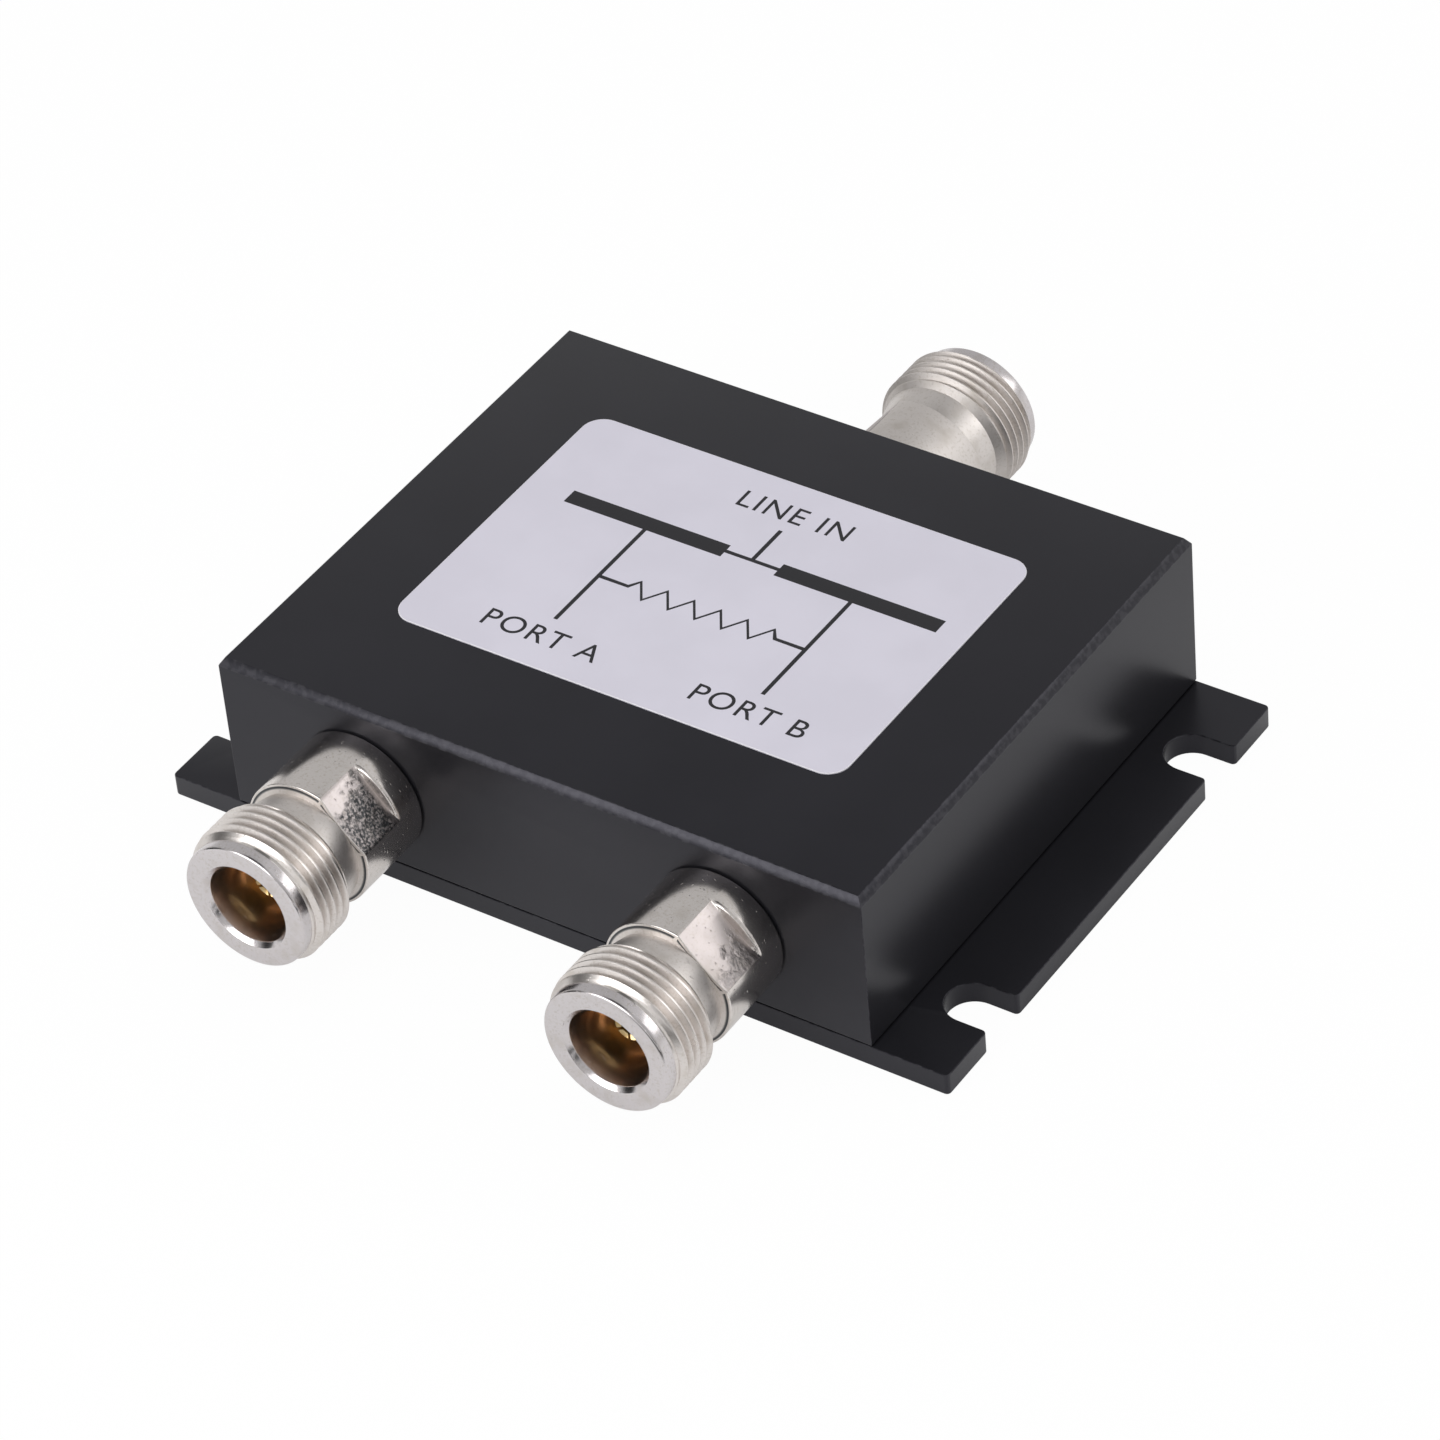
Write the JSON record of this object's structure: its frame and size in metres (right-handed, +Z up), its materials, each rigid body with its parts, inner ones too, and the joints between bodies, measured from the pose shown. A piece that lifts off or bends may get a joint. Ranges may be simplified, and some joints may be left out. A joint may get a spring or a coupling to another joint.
{
  "type": "rf power splitter",
  "caption": "Flat black metal box on a slotted flange plate with threaded coaxial sockets on opposite faces; splits one radio-frequency input evenly between outputs.",
  "frame": {"origin": "middle of the base plate's underside", "axes": "+X along the output face from the first output to the second, +Y towards the input socket, +Z up out of the label"},
  "size_m": [0.0934, 0.1028, 0.0215],
  "materials": {
    "black_finish": "satin black coat on milled aluminium",
    "label_foil": "pale grey foil, satin",
    "nickel": "nickel plating on turned brass",
    "gold": "gold plating, bright",
    "bead_white": "white fluoropolymer, waxy",
    "laminate": "bare laminate",
    "copper": "etched copper",
    "resistor": "chip resistor",
    "solder": "bright solder",
    "screw_steel": "zinc-plated steel"
  },
  "bodies": {
    "root": {"housing": "black_finish", "base_plate": "black_finish", "base_screws": "screw_steel", "label": "label_foil", "input_body": "nickel", "input_bead": "bead_white", "input_contact": "gold", "input_solder": "solder", "output_1_body": "nickel", "output_1_bead": "bead_white", "output_1_contact": "gold", "output_1_solder": "solder", "output_2_body": "nickel", "output_2_bead": "bead_white", "output_2_contact": "gold", "output_2_solder": "solder", "circuit_board": "laminate", "divider_line": "copper", "ground_foil": "copper", "resistor_1": "resistor", "resistor_2": "resistor", "resistor_3": "resistor", "board_screws": "screw_steel"}
  },
  "joints": []
}
